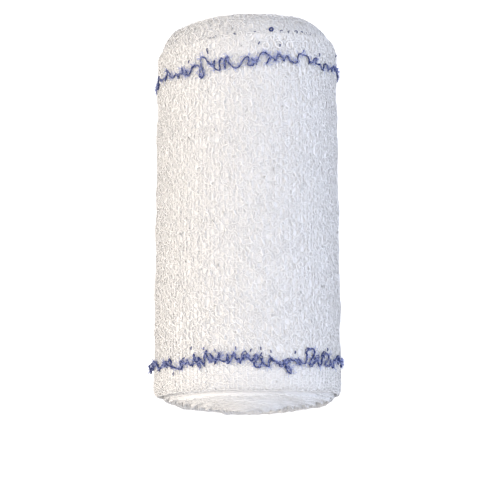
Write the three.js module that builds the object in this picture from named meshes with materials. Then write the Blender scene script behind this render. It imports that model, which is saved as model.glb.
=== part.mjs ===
// A crepe bandage roll, lying on its side: a long strip of stretchy white cotton cloth, wound up
// tight, with a curly blue marker thread along each of its two selvedges.
//
// Millimetres, +Z up. The roll's axis runs along Y, with the near end at -Y and the far end at +Y.
// The roll lies on the plane Z = 0, on the small flat that its own weight presses.
// An angle goes round the axis from +X (0) over the top (90) to -X (180).
// A travel, in radians, is how far the strip has gone round from its cut end: up the left side,
// over the top, down the right side and under the roll.
// A run is measured along the cloth, from the middle of the roll over its shoulder and down its end.

import * as THREE from 'three';

// The wound body
const ROLL_RADIUS = 25.6; // over the outer turn, half way along
const NEAR_FLARE = 0.37; // the near end is this much thicker than the middle, the far end thinner
const FLARE_REACH = 54.0; // how far from the middle that holds
const CLOTH_THICKNESS = 1.0;
const EDGE_STEP = 0.5; // a selvedge lies pressed down to this height over the turn below
const CUT_END_ANGLE = 225; // where the outer turn stops
const CUT_END_WIDTH = 1.5; // degrees over which the cloth's thickness drops there
const FLAT_DEPTH = 0.95; // how far the flat cuts into the round
const FLAT_HALF_WIDTH = 6.9;
const FLAT_HOLLOW = 0.01; // the flat rests on its four corners, its middle this much clear
const SHOULDER_RISE = 0.6; // how fast the underside lifts where a shoulder draws in

// The far end: inner turns stand out of the roll in a round shoulder, with a shallow dimple inside
const FAR_END = 55.2;
const FAR_SHOULDER = 10.65;
const FAR_DIMPLE = 1.6;

// The near end: the outer turn's edge curls in, and the inner turns swell a little out of it
const NEAR_RIM = -54.0;
const NEAR_SHOULDER = 4.5;
const NEAR_SWELL = 2.25;

// The strip's outer turn, and the turn under it, which reaches further over the far shoulder
const FAR_THREAD = 38.2;
const FAR_THREAD_SKEW = 2.2; // towards the far end on the right, and away from it on the left
const FAR_THREAD_LEAN = -0.8; // away from the far end on top
const NEAR_THREAD = -43.0;
const NEAR_THREAD_SKEW = 0.3;
const NEAR_THREAD_LEAN = -2.0; // towards the near end on top
const FAR_THREAD_TO_EDGE = 8.9;
const NEAR_THREAD_TO_EDGE = 8.0;
const SECOND_TURN_REACH = 7.8;
const SELVEDGE_ROUNDING = 0.6; // length over which a selvedge drops to the turn below

// Small unevenness of the cloth: waves along the roll and round it
const SWELLS = [
  { height: 0.12, length: 23, lobes: 2, phase: 0.4 },
  { height: 0.1, length: 14, lobes: 3, phase: 2.1 },
  { height: 0.08, length: 9.5, lobes: 1, phase: 4.0 },
];

// The marker threads
const THREAD_RADIUS = 0.28;
const THREAD_CLEARANCE = 0.34;
const THREAD_END_ANGLE = -58; // past the right side and short of the flat
const THREAD_SIDES = 4;
const CURL_STEPS = 8; // points on each curl
const THREADS = [
  { name: 'marker_thread_near', runAt: nearThreadRun, height: 0.95, curl: 4.2, phase: 1.1 },
  { name: 'marker_thread_far', runAt: farThreadRun, height: 1.1, curl: 4.6, phase: 0.2 },
];

// How finely the body is divided
const COLUMNS = 60;
const BANDS = { farFace: 7, secondTurn: 3, outerTurn: 22, nearFace: 7 };

const COLOURS = { cloth: 0xf0ece9, thread: 0x47558a };

const FAR_BASE = FAR_END - FAR_SHOULDER;
const NEAR_BASE = NEAR_RIM + NEAR_SHOULDER;
const QUARTER = Math.PI / 2;
const FAR_FACE_RADIUS = ROLL_RADIUS - FAR_SHOULDER;
const NEAR_FACE_RADIUS = ROLL_RADIUS - NEAR_SHOULDER;
const FAR_POLE_RUN = FAR_BASE + FAR_SHOULDER * QUARTER + FAR_FACE_RADIUS;
const NEAR_POLE_RUN = NEAR_BASE - NEAR_SHOULDER * QUARTER - NEAR_FACE_RADIUS;

const radians = THREE.MathUtils.degToRad;

// Radius over the outer turn, without the shoulders. The strip winds inwards from its cut end, so
// the radius falls by one thickness of cloth in a whole turn.
function barrelRadius(y, travel) {
  const flare = -NEAR_FLARE * THREE.MathUtils.clamp(y / FLARE_REACH, -1, 1);
  const wound = CLOTH_THICKNESS * (0.5 - travel / (2 * Math.PI));
  const swell = SWELLS.reduce(
    (sum, s) => sum + s.height * Math.sin((2 * Math.PI * y) / s.length + s.lobes * travel + s.phase),
    0,
  );
  return ROLL_RADIUS + flare + wound + swell;
}

// The roll's outline at a run: the place along the axis, the share of the end's radius that is
// left, how far the shoulder draws in, and the direction that faces out of the cloth.
function outlineAt(run) {
  if (run > FAR_BASE) {
    const turn = Math.min((run - FAR_BASE) / FAR_SHOULDER, QUARTER);
    const over = (run - FAR_BASE - FAR_SHOULDER * turn) / FAR_FACE_RADIUS;
    const dimple = FAR_DIMPLE * THREE.MathUtils.smoothstep(over, 0.2, 1);
    return outlinePoint(FAR_BASE, FAR_SHOULDER, turn, over, -dimple, 1);
  }
  if (run < NEAR_BASE) {
    const turn = Math.min((NEAR_BASE - run) / NEAR_SHOULDER, QUARTER);
    const over = (NEAR_BASE - run - NEAR_SHOULDER * turn) / NEAR_FACE_RADIUS;
    const swell = NEAR_SWELL * (1 - (1 - over) ** 2);
    return outlinePoint(NEAR_BASE, NEAR_SHOULDER, turn, over, swell, -1);
  }
  return { y: run, left: 1, shoulder: 0, drawIn: 0, outY: 0, outR: 1 };
}

function outlinePoint(base, shoulder, turn, over, swell, side) {
  return {
    y: base + side * (shoulder * Math.sin(turn) + swell),
    left: 1 - over,
    shoulder,
    drawIn: shoulder * (1 - Math.cos(turn)),
    outY: side * Math.sin(turn),
    outR: Math.cos(turn),
  };
}

// A point at a height above the cloth's outer turn, pressed flat where the roll rests.
function clothPoint(run, travel, height) {
  const angle = radians(CUT_END_ANGLE) - travel;
  const place = outlineAt(run);
  const barrel = barrelRadius(place.y, travel);
  const onEnd = (barrel - place.shoulder) * place.left;
  const onShoulder = place.shoulder - place.drawIn;
  const radius = Math.max(onEnd + onShoulder + height * place.outR, 0);
  const restTravel = radians(CUT_END_ANGLE + 90);
  const axisHeight = barrelRadius(place.y, restTravel) - FLAT_DEPTH;
  const across = radius * Math.cos(angle);
  return new THREE.Vector3(
    across,
    place.y + height * place.outY,
    Math.max(axisHeight + radius * Math.sin(angle), flatHeight(across, place)),
  );
}

function flatHeight(across, place) {
  const base = place.y > 0 ? FAR_BASE : NEAR_BASE;
  const middle = 2 - (across / FLAT_HALF_WIDTH) ** 2 - (place.y / base) ** 2;
  return FLAT_HOLLOW * Math.max(middle, 0) + SHOULDER_RISE * place.drawIn;
}

function farThreadRun(travel) {
  const angle = radians(CUT_END_ANGLE) - travel;
  return FAR_THREAD + FAR_THREAD_SKEW * Math.cos(angle) + FAR_THREAD_LEAN * Math.sin(angle);
}

function nearThreadRun(travel) {
  const angle = radians(CUT_END_ANGLE) - travel;
  return NEAR_THREAD + NEAR_THREAD_SKEW * Math.cos(angle) + NEAR_THREAD_LEAN * Math.sin(angle);
}

// The rows of the body at one angle, from the far pole to the near pole, each a run and a height.
// The body drops by one step at each selvedge.
function rowsAt(travel) {
  const outerFar = farThreadRun(travel) + FAR_THREAD_TO_EDGE;
  const secondFar = outerFar + SECOND_TURN_REACH;
  const outerNear = nearThreadRun(travel) - NEAR_THREAD_TO_EDGE;
  const drop = SELVEDGE_ROUNDING;
  const bands = [
    { from: FAR_POLE_RUN, to: secondFar + drop, rows: BANDS.farFace, turnsBelow: 2 },
    { from: secondFar, to: outerFar + drop, rows: BANDS.secondTurn, turnsBelow: 1 },
    { from: outerFar, to: outerNear, rows: BANDS.outerTurn, turnsBelow: 0 },
    { from: outerNear - drop, to: NEAR_POLE_RUN, rows: BANDS.nearFace, turnsBelow: 1 },
  ];
  return bands.flatMap(({ from, to, rows, turnsBelow }) =>
    Array.from({ length: rows + 1 }, (_, i) => ({
      run: THREE.MathUtils.lerp(from, to, i / rows),
      height: -turnsBelow * EDGE_STEP,
    })),
  );
}

// One closed skin: a ring of points for each row, and a single point at each pole.
function bodyGeometry() {
  const wholeTurn = 2 * Math.PI - radians(CUT_END_WIDTH);
  const travels = Array.from({ length: COLUMNS }, (_, i) => (wholeTurn * i) / (COLUMNS - 1));
  const columns = travels.map((travel) => {
    const rings = rowsAt(travel).slice(1, -1);
    return rings.map(({ run, height }) => clothPoint(run, travel, height));
  });
  const poles = [rowsAt(0).at(0), rowsAt(0).at(-1)];
  const [farPole, nearPole] = poles.map(({ run, height }) => clothPoint(run, 0, height));
  const rowCount = columns[0].length;
  const points = [...columns.flat(), farPole, nearPole];
  const at = (column, row) => (column % COLUMNS) * rowCount + row;
  const farIndex = points.length - 2;
  const nearIndex = points.length - 1;
  const faces = [];
  for (let column = 0; column < COLUMNS; column += 1) {
    const next = column + 1;
    faces.push(farIndex, at(column, 0), at(next, 0));
    for (let row = 0; row + 1 < rowCount; row += 1) {
      faces.push(at(column, row), at(column, row + 1), at(next, row + 1));
      faces.push(at(column, row), at(next, row + 1), at(next, row));
    }
    faces.push(nearIndex, at(next, rowCount - 1), at(column, rowCount - 1));
  }
  const geometry = new THREE.BufferGeometry().setFromPoints(points);
  geometry.setIndex(faces);
  geometry.computeVertexNormals();
  return geometry;
}

// A thread that curls from side to side as it runs round the outer turn, from the cut end up the
// left side, over the top and down the right.
function threadGeometry({ runAt, height, curl, phase }) {
  const travelEnd = radians(CUT_END_ANGLE - THREAD_END_ANGLE);
  const length = ROLL_RADIUS * travelEnd;
  const steps = Math.round((length / curl) * CURL_STEPS);
  const lift = THREAD_CLEARANCE + THREAD_RADIUS;
  const points = Array.from({ length: steps + 1 }, (_, i) => {
    const along = (length * i) / steps;
    const travel = along / ROLL_RADIUS;
    const uneven = 0.85 + 0.15 * Math.sin(along / 5.1 + phase);
    const side = Math.sin((2 * Math.PI * along) / curl + 0.5 * Math.sin(along / 3.7 + phase));
    return clothPoint(runAt(travel) + height * uneven * side, travel, lift);
  });
  const section = new THREE.Shape(
    Array.from({ length: THREAD_SIDES }, (_, i) => {
      const angle = (2 * Math.PI * i) / THREAD_SIDES;
      return new THREE.Vector2(THREAD_RADIUS * Math.cos(angle), THREAD_RADIUS * Math.sin(angle));
    }),
  );
  return new THREE.ExtrudeGeometry(section, {
    steps,
    extrudePath: new THREE.CatmullRomCurve3(points),
  });
}

function clothMesh(name, geometry, colour) {
  const material = new THREE.MeshStandardMaterial({ color: colour, roughness: 0.95, metalness: 0 });
  const mesh = new THREE.Mesh(geometry, material);
  mesh.name = name;
  return mesh;
}

const bandage = new THREE.Group();
bandage.add(clothMesh('bandage_roll', bodyGeometry(), COLOURS.cloth));
for (const thread of THREADS) {
  bandage.add(clothMesh(thread.name, threadGeometry(thread), COLOURS.thread));
}

// The origin is under the middle of the roll's box.
const middle = new THREE.Box3().setFromObject(bandage).getCenter(new THREE.Vector3());
bandage.position.set(-middle.x, -middle.y, 0);

export default bandage;
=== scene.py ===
"""A crepe bandage roll in real yarn: a wound strip of crinkled white cotton with two blue marker
threads, lying on its side.

The roll's axis runs along Y, with the near end at -Y. Sizes are in millimetres until a mesh is
made. A travel, in radians, is how far the strip has gone round from its cut end: up the left
side, over the top, down the right side, under the roll, and so on inwards, turn after turn.
A run is measured along the cloth from the middle of the roll, over its shoulder.
"""

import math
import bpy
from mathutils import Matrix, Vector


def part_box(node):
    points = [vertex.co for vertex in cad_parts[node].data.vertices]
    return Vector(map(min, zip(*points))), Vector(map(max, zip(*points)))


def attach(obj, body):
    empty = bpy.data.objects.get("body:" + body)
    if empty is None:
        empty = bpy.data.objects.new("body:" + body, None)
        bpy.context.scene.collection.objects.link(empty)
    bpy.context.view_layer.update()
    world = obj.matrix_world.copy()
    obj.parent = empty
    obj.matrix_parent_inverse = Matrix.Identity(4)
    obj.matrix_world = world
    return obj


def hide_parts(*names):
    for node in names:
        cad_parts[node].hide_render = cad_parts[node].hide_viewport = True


bl_info = {
    "name": "Crepe Bandage Roll",
    "version": (1, 0, 0),
    "blender": (4, 5, 0),
    "location": "View3D > Sidebar > Bandage",
    "description": "Winds a crepe bandage of cotton yarn with a blue thread by each selvedge",
    "category": "Add Mesh",
}

import bpy
import numpy as np
from mathutils import Matrix, Vector

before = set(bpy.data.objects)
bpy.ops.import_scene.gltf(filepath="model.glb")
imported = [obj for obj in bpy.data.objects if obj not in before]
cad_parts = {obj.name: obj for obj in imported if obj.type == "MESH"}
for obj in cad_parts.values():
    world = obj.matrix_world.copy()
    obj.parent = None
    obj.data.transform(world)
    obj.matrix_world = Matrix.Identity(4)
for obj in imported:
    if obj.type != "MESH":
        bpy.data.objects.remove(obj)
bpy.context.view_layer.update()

MM = 0.001
TURN = 2 * math.pi

# The wound body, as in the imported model
ROLL_RADIUS = 25.6
NEAR_FLARE = 0.37
FLARE_REACH = 54.0
CLOTH_THICKNESS = 1.0
EDGE_STEP = 0.5
CUT_END_ANGLE = math.radians(225)
FLAT_DEPTH = 0.95
REST_TRAVEL = CUT_END_ANGLE + math.pi / 2
FAR_END = 55.2
FAR_SHOULDER = 10.65
FAR_DIMPLE = 1.6
NEAR_RIM = -54.0
NEAR_SHOULDER = 4.5
NEAR_SWELL = 2.25
FAR_BASE = FAR_END - FAR_SHOULDER
NEAR_BASE = NEAR_RIM + NEAR_SHOULDER
FAR_THREAD = dict(middle=38.2, skew=2.2, lean=-0.8)
NEAR_THREAD = dict(middle=-43.0, skew=0.3, lean=-2.0)
FAR_THREAD_TO_EDGE = 8.9
NEAR_THREAD_TO_EDGE = 8.0
SECOND_TURN_REACH = 7.8
# Height, length, lobes and phase of the swells of the barrel
SWELLS = ((0.12, 23.0, 2, 0.4), (0.10, 14.0, 3, 2.1), (0.08, 9.5, 1, 4.0))

# How the strip is wound inside
TURNS = 25.0
HANDOVER = 0.12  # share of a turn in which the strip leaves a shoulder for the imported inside
NEAR_EDGE_SAG = 1.1  # the near edge lies farther out by this much at the sides than on top
NEAR_FULLNESS = 0.94  # share of the near shoulder to which turns past the outer one's edge swell
COVER_BLEND = 0.6  # how gradually they do so
DIMPLE_START = 0.2  # how far in from the shoulder the far end's hollow starts, as a share
SECOND_TURN_OUT = (0.78, 1.0)  # turns between which the far edge moves out
GROUND_FILLS = (2.0, 2.15)  # turns between which the sheet fills the yarns' place
GROUND = -0.42  # the sheet under the yarns lies this much below the outline
INNER_FACE = -0.94  # the sheet's inner face lies this much below the outline
YARN_TOP = 0.3  # what the flat underneath leaves for the yarns
SQUEEZE_DEPTH = 6.0  # how deep the flat's pressure is felt
EDGE_PRESS = 0.05  # the outer turn's far edge is pressed down by this much
PRESS_REACH = 4.0  # over this width
PRESS_FADES = (0.8, 0.95)  # between these turns
SECOND_LIFT = dict(left=0.05, right=0.5)  # the second turn bulges up where it comes out
RIGHT_SIDE = (0.5, 0.9)  # between these cosines the left side's lift becomes the right side's
NEAR_LIFT = 0.7  # the second turn also bulges up at the near end, past the outer turn's edge
LIFT_STARTS = (1.0, 1.02)  # turns between which the second turn's lifts start
NEAR_LIFT_ENDS = (1.95, 2.05)
FAR_RISE = (-0.5, 2.0)  # how far past the outer turn's edge the lifts rise
NEAR_RISE = (-0.3, 0.9)
# Height, rate and phase of the waves of the selvedges
EDGE_WAVES = ((0.22, 0.9, 1.0), (0.20, 2.31, 0.3), (0.12, 5.17, 2.2))
NEAR_WAVE_RATE = 1.7  # the near edge's waves are this much faster
NEAR_RING = (0.0, 0.12, 0.5, 1.2, 2.5, 4.0, 6.0, 9.0, 14.0)
FAR_RING = (0.0, 0.12, 0.5, 1.2, 2.4, 3.8, 5.4, 7.2, 9.2, 11.5, 14.5, 19.0)
MIDDLE_RING = 24
# Number of stations along the strip from turn to turn, closer together where it shows
STATIONS = ((0, 1, 361), (1, 2.2, 217), (2.2, TURNS, 840))
SELVEDGE_ROUNDING = 0.5

# The yarns. Wanders, which are smooth random changes, have a length along the yarn and a strength.
WAVE_SHARES = (1.0, 0.61, 0.37)  # lengths of the waves that make a wander, as shares of its own
WAVE_SUM = 1.9  # what the waves come to together, mostly
UNROLLED = ROLL_RADIUS * TURN
SIDES_OF_ROUND_YARN = 6
CURL_DRIFT = (4.2, 1.6)  # of where a curl lies, the length counted in curls
CURL_GROWTH = (7.0, 0.6)
CURL_SHARES = dict(usual=0.8, least=0.3, most=1.6)  # sizes of a warp's curls
CURL_RISE = 0.1  # how much a large curl stands up more than a usual one, as a share
CURL_LEAN = (9.0, 1.2)
CURL_TILT = (6.0, 0.6)
WARP_SWAY = (17.0, 0.22)
WARP_SWELL = (6.0, 0.15)
MEAN_RADIUS = 25
WARPED_WIDTH = 98.0
WARP_STEP = 0.26
WARP_SINK = 0.06
WARP_SPREAD = 0.0012  # how unevenly the warps are spaced, as a share of the width
HIDDEN_STEP = 0.5  # step along the warps where the roll lies on them
HIDDEN_BELOW = -0.82  # sine of the angle at which that starts
ROW_MARGIN = 0.15  # the warps keep this far from the selvedges
NEAR_BAND = (0.06, 0.1)  # share of the width that lies outside the near blue thread
NEAR_BAND_CALM = 0.5  # how much flatter the curls are there
CUT_END_DROP = dict(height=0.8, reach=1.6)  # how the warps hang down at the cut end
WEFT_SWAY = (8.0, 0.13)
WEFT_SHAKE = (2.4, 0.05)
WEFT_WAVE = 0.09  # height of the wave with which a weft passes the warps
WEFT_DEPTH = 0.27
FULL_WIDTH = 106.0  # mean width of the second turn along the cloth
SECOND_ROWS = 11  # warps that show on it at the far end
NEAR_ROWS = {1: 3, 2: 2, 3: 2}  # warps that show at the near end, by turn
NEAR_ROW_START = 0.4  # place of the first one, counted in rows
NEAR_ROW_STEP = 0.3
NEAR_ROW_RISE = 0.15
NEAR_ROW_CALM = 0.85
WARP_ENDS = (-1.2, 1.0)  # how far the warps reach past the cut end, and on over it
WEFT_INSET = 0.3  # how far in from the near edge the wefts start
WEFT_SPREAD = 0.1  # how unevenly the wefts are spaced
FIRST_WEFT = 0.3  # how far from the cut end the first weft lies
FIRST_ARC = 0.8  # and the first loop at the far edge
TUCK = 2  # how far the second turn's wefts reach under the outer turn
SECOND_START = 0.5  # how far into the second turn its yarns start
ARC = dict(half_width=0.55, widths=(0.7, 1.1), bulges=(0.25, 0.8), inset=0.1, past=0.3)
ARC_DEPTH = dict(mean=-0.35, spread=0.06, wave=0.08)
STANDING = dict(angles=(-20, 200), shares=(0.06, 0.97), sizes=(0.45, 0.85), arcs=(0.6, 1.0))
STANDING_COUNT = 240
STANDING_HEIGHT = dict(mean=0.1, wave=0.08)
BIG_CURL = dict(arc=0.95, thickness=1.5)
EDGE_YARN = dict(radius=0.2, heights=(-0.3, -0.66), inset=0.05, step=0.5, start=0.02, left=10)
EDGE_SWAY = (2.3, 0.12)
EDGE_DRIFT = (9.0, 0.1)
EDGE_SHAKE = (1.7, 0.07)
MARKER_HEIGHT = 0.3
MARKER_REACH = 25.9  # radius at which the blue threads lie
MARKER_STEP = 0.2
MARKER_GAP = 0.6  # between the curls that show and the hidden ones
MARKER_ENDS = 1.0  # how far it goes on past the cut end and over it
MARKER_PROUD = 0.2  # how far inside its radius the thread starts to stand off to the side
HIDDEN_CURLS = dict(height=1.15, aside=0.5)  # how the hidden curls differ from a warp's
MARKER_RISE = (2.6, 0.13)
MARKER_SWELL = (1.7, 0.18)
PLY_DRIFT = (4.0, 2.0)
PLY_GROWTH = (9.0, 0.9)
PLY = dict(thinner=0.25, usual=0.8, most=2, lean=0.6, quicker=1.3, sink=0.1, wave=0.1)
PEEP = dict(span=0.62, height=0.2, wave=0.12)
TIP = dict(thickness=0.6, slant=0.4, length=0.35, height=0.25, sink=0.05)
FIBRE = dict(bend=1.3, lengths=(0.4, 1.3), rises=(0.1, 0.75))  # as shares of a fibre's reach
FLUFF_SHARES = (0.01, 0.99)  # of the way round and across within which the cotton fluff lies
FLUFF_HEIGHT = 0.05
COTTON_FLUFF = dict(reach=1.0, radius=0.035)
BLUE_FLUFF = dict(reach=1.3, radius=0.055)
BLUE_FLUFF_COUNT = 1100  # fibres that stand off each blue thread
# The curls of the blue threads on the upper side, in tenths of a millimetre: across the roll, and
# aside from the thread's line towards the far end
FAR_CURLS = (
    (-251, -1), (-254, 29), (-247, 11), (-239, 9), (-232, 10), (-233, 2), (-228, 15),
    (-229, 32), (-219, 15), (-221, 10), (-211, 1), (-206, 4), (-200, 7), (-195, -2), (-191, 6),
    (-183, 1), (-184, 18), (-177, -4), (-170, -2), (-174, 9), (-167, -9), (-161, -3),
    (-156, 12), (-149, 15), (-140, 15), (-135, 7), (-132, -3), (-135, -16), (-130, -23),
    (-123, -19), (-125, -8), (-129, 14), (-131, 29), (-127, 35), (-118, 31), (-114, 22),
    (-106, 11), (-94, 9), (-92, 18), (-95, 4), (-90, -6), (-78, -11), (-80, 10), (-75, 20),
    (-66, 15), (-63, -8), (-66, 10), (-56, 23), (-58, 12), (-49, 1), (-42, -7), (-32, -12),
    (-23, -6), (-18, 1), (-12, 11), (-1, 19), (2, 6), (-1, -4), (6, -8), (14, -7), (16, 0),
    (11, 9), (21, 1), (26, 3), (31, 18), (36, 25), (46, 27), (55, 21), (62, 16), (57, 7),
    (52, -4), (62, 10), (70, 10), (77, 3), (81, 17), (88, 22), (96, 14), (100, 3), (108, 18),
    (115, 9), (126, -1), (136, -1), (140, 9), (143, 23), (148, 25), (157, 23), (164, 22),
    (171, 15), (175, 3), (182, 4), (186, 14), (195, 18), (191, 4), (204, 3), (209, -6),
    (215, -12), (218, 7), (226, 6), (230, -7), (239, 5), (241, -5), (245, 13),
)
NEAR_CURLS = (
    (-262, -21), (-267, -2), (-260, 8), (-254, 11), (-260, -4), (-264, -13), (-256, -8),
    (-250, 2), (-248, 10), (-244, -3), (-238, -10), (-229, 1), (-226, 8), (-220, 2), (-224, -6),
    (-215, -2), (-211, 12), (-206, 4), (-209, -6), (-201, -9), (-194, -13), (-183, -14),
    (-176, -12), (-180, -4), (-176, 6), (-169, -4), (-161, 2), (-163, 7), (-154, -7),
    (-146, -2), (-144, 22), (-141, 5), (-132, 1), (-134, -9), (-129, -6), (-132, 13),
    (-118, -5), (-115, 17), (-113, 29), (-110, 17), (-105, 7), (-98, 0), (-95, 12), (-102, 23),
    (-92, 8), (-83, 3), (-78, 23), (-75, 16), (-78, 8), (-68, 1), (-58, 2), (-55, 19),
    (-52, -1), (-45, 4), (-42, 19), (-35, 15), (-38, 22), (-32, 5), (-25, 7), (-23, -1),
    (-15, 7), (-12, 17), (-5, 10), (1, 8), (8, 0), (15, 7), (21, 15), (26, 10), (15, -8),
    (21, -17), (30, -14), (36, -2), (33, 7), (41, -9), (48, -14), (55, -14), (53, -2), (58, 8),
    (65, 0), (75, -2), (81, -8), (91, -10), (95, 2), (98, -8), (101, -25), (111, -33),
    (113, -25), (105, -15), (100, -8), (111, 2), (122, 1), (128, 4), (132, -6), (138, -9),
    (135, 4), (145, -6), (152, -4), (156, 13), (159, 30), (169, 35), (178, 29), (174, 14),
    (166, 0), (162, -9), (173, -7), (180, 0), (181, 11), (188, 7), (186, -3), (192, -13),
    (197, 1), (201, 15), (209, 22), (218, 18), (215, 5), (206, -5), (209, -8), (218, -11),
    (222, -1), (225, -4), (229, -14), (233, 7),
)
# Large white curls that stand out by the far blue thread: across the roll, run and radius
BIG_CURLS = (
    (8.6, 43.4, 1.05), (11.7, 43.4, 0.95), (14.2, 42.0, 1.2), (17.5, 40.8, 0.9), (5.0, 42.6, 0.9),
)
# Where the second turn's blue thread peeps out at the outer turn's far edge: the angle, how far
# past the edge, and the loop's radius and thickness
PEEPING_LOOPS = (
    (-20, 0.2, 0.5, 0.8), (44, -0.4, 0.2, 0.7), (48.5, 0.0, 0.35, 0.4),
    (52, 0.1, 0.3, 0.4), (56.5, 0.1, 0.4, 0.4), (62, 0.0, 0.3, 0.4),
    (67.5, 0.1, 0.35, 0.4), (74.5, 0.75, 0.5, 0.9), (85.5, 0.1, 0.25, 0.4),
    (99, 0.0, 0.3, 0.4), (112, 0.1, 0.3, 0.4), (115, -0.1, 0.25, 0.4),
    (150, -0.2, 0.4, 0.6), (196, 0.3, 0.5, 0.8),
)
# Places where a tip of a blue thread comes up beside it, given in the same way as the curls
FAR_TIPS = (
    (31, 56), (91, 48), (158, 34), (-112, 46), (-114, 54), (-165, 32), (205, 31), (255, 50),
)
NEAR_TIPS = (
    (34, 19), (33, 34), (-34, 36), (-153, 39), (-202, -28), (-89, 31), (126, 24), (60, 26),
    (-119, 37), (6, 29), (215, 34),
)
# How thick a blue thread is, how its looser ply curls about the first, and its tips
NEAR_LOOK = dict(thickness=0.80, length=1.5, stray=0.6, tips=NEAR_TIPS)
FAR_LOOK = dict(thickness=0.70, length=1.7, stray=0.35, tips=FAR_TIPS)
CLOTH_LENGTH = 2050.0


def smooth(x, low, high):
    share = np.clip((x - low) / (high - low), 0, 1)
    return share * share * (3 - 2 * share)


def barrel_radius(y, travel):
    """Radius of the strip's outer face, without the shoulders. It falls by one thickness a turn."""
    flare = -NEAR_FLARE * np.clip(y / FLARE_REACH, -1, 1)
    wound = CLOTH_THICKNESS * (0.5 - travel / TURN)
    swell = sum(
        height * np.sin(TURN * y / length + lobes * travel + phase)
        for height, length, lobes, phase in SWELLS
    )
    return ROLL_RADIUS + flare + wound + swell


def thread_run(thread, travel):
    angle = CUT_END_ANGLE - travel
    return thread["middle"] + thread["skew"] * np.cos(angle) + thread["lean"] * np.sin(angle)


def edge_waves(travel):
    return sum(height * np.sin(rate * travel + phase) for height, rate, phase in EDGE_WAVES)


def packed(travel, first_turn):
    """0 while the strip still bends over a shoulder, 1 where it is packed straight inside."""
    return smooth(travel / TURN, first_turn, first_turn + HANDOVER)


def far_face(radius):
    """Where the far edge of a packed turn lies, so that the turns make a round shoulder."""
    shoulder = FAR_SHOULDER - CLOTH_THICKNESS
    hub = ROLL_RADIUS - CLOTH_THICKNESS - FAR_SHOULDER
    out = np.clip(radius - hub, 0, shoulder)
    dimple = FAR_DIMPLE * smooth(1 - radius / hub, DIMPLE_START, 1)
    return FAR_BASE + np.sqrt(shoulder**2 - out**2) - dimple


def near_face(radius, cover):
    """The same for the near end. Turns stay under the outer turn's edge, which lies at the
    cover, and swell to the full shoulder where they reach past it."""
    hub = ROLL_RADIUS - NEAR_SHOULDER
    out = np.clip(radius - hub, 0, NEAR_SHOULDER)
    inner = NEAR_SHOULDER - CLOTH_THICKNESS
    full = NEAR_BASE - NEAR_FULLNESS * np.sqrt(NEAR_SHOULDER**2 - out**2)
    shy = NEAR_BASE - np.sqrt(inner**2 - np.minimum(out, inner) ** 2)
    free = smooth(cover - full, 0.0, COVER_BLEND)
    swell = NEAR_SWELL * (1 - np.clip(radius / hub, 0, 1) ** 2)
    return shy + free * (full - shy) - swell


def far_edge(travel):
    reach = SECOND_TURN_REACH * smooth(travel / TURN, *SECOND_TURN_OUT)
    curled = outer_far_edge(travel) + reach
    inside = far_face(barrel_radius(FAR_BASE, travel))
    return curled + packed(travel, 2) * (inside - curled) + edge_waves(travel)


def outer_near_edge(travel):
    sag = NEAR_EDGE_SAG * (1 - np.sin(CUT_END_ANGLE - travel))
    return thread_run(NEAR_THREAD, travel) - NEAR_THREAD_TO_EDGE - sag


def near_edge(travel):
    curled = outer_near_edge(travel)
    inside = near_face(barrel_radius(NEAR_BASE, travel), curled)
    return curled + packed(travel, 1) * (inside - curled) + edge_waves(NEAR_WAVE_RATE * travel)


def outer_far_edge(travel):
    return thread_run(FAR_THREAD, travel) + FAR_THREAD_TO_EDGE


def lift(run, travel):
    """How far the cloth stands off its outline: pressed down at the outer turn's far edge, and
    swelling up where the second turn comes out from under it."""
    past_far, past_near = run - outer_far_edge(travel), outer_near_edge(travel) - run
    turns = travel / TURN
    second = smooth(turns, *LIFT_STARTS)
    press = EDGE_PRESS * smooth(past_far, -PRESS_REACH, 0) * (1 - smooth(turns, *PRESS_FADES))
    right = smooth(np.cos(CUT_END_ANGLE - travel), *RIGHT_SIDE)
    most = SECOND_LIFT["left"] + right * (SECOND_LIFT["right"] - SECOND_LIFT["left"])
    far = most * second * (1 - packed(travel, 2)) * smooth(past_far, *FAR_RISE)
    near = NEAR_LIFT * second * (1 - smooth(turns, *NEAR_LIFT_ENDS)) * smooth(past_near, *NEAR_RISE)
    return far + near - press


def cloth_point(run, travel, height):
    """Points at a height over the strip's outline, in millimetres in the part's own frame."""
    run, travel, height = np.broadcast_arrays(run, travel, height)
    height = height + lift(run, travel)
    far_turn = np.clip((run - FAR_BASE) / FAR_SHOULDER, 0, math.pi / 2)
    near_turn = np.clip((NEAR_BASE - run) / NEAR_SHOULDER, 0, math.pi / 2)
    bent = 1 - np.where(run > 0, packed(travel, 2), packed(travel, 1))
    bent_y = (
        np.clip(run, NEAR_BASE, FAR_BASE)
        + FAR_SHOULDER * np.sin(far_turn)
        - NEAR_SHOULDER * np.sin(near_turn)
    )
    draw_in = FAR_SHOULDER * (1 - np.cos(far_turn)) + NEAR_SHOULDER * (1 - np.cos(near_turn))
    out_y = np.sin(far_turn) - np.sin(near_turn)
    out_r = np.cos(far_turn) * np.cos(near_turn)
    y = run + bent * (bent_y - run)
    radius = barrel_radius(y, travel) - bent * draw_in + height * (1 + bent * (out_r - 1))
    y = y + height * bent * out_y
    return seated(y, CUT_END_ANGLE - travel, radius, travel)


def seated(y, angle, radius, travel):
    """Presses the roll flat where it rests, less and less inwards, and moves it to its seat."""
    axis_height = barrel_radius(y, REST_TRAVEL) - FLAT_DEPTH
    outside = barrel_radius(y, np.mod(travel, TURN)) + YARN_TOP
    down = np.maximum(-np.sin(angle), 1e-3)
    squeeze = np.maximum(outside - axis_height / down, 0)
    radius = radius - squeeze * np.exp(-np.maximum(outside - radius, 0) / SQUEEZE_DEPTH)
    x = radius * np.cos(angle)
    z = axis_height + radius * np.sin(angle)
    return np.stack([x + SEAT[0], y + SEAT[1], np.maximum(z, 0)], axis=-1)


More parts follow.
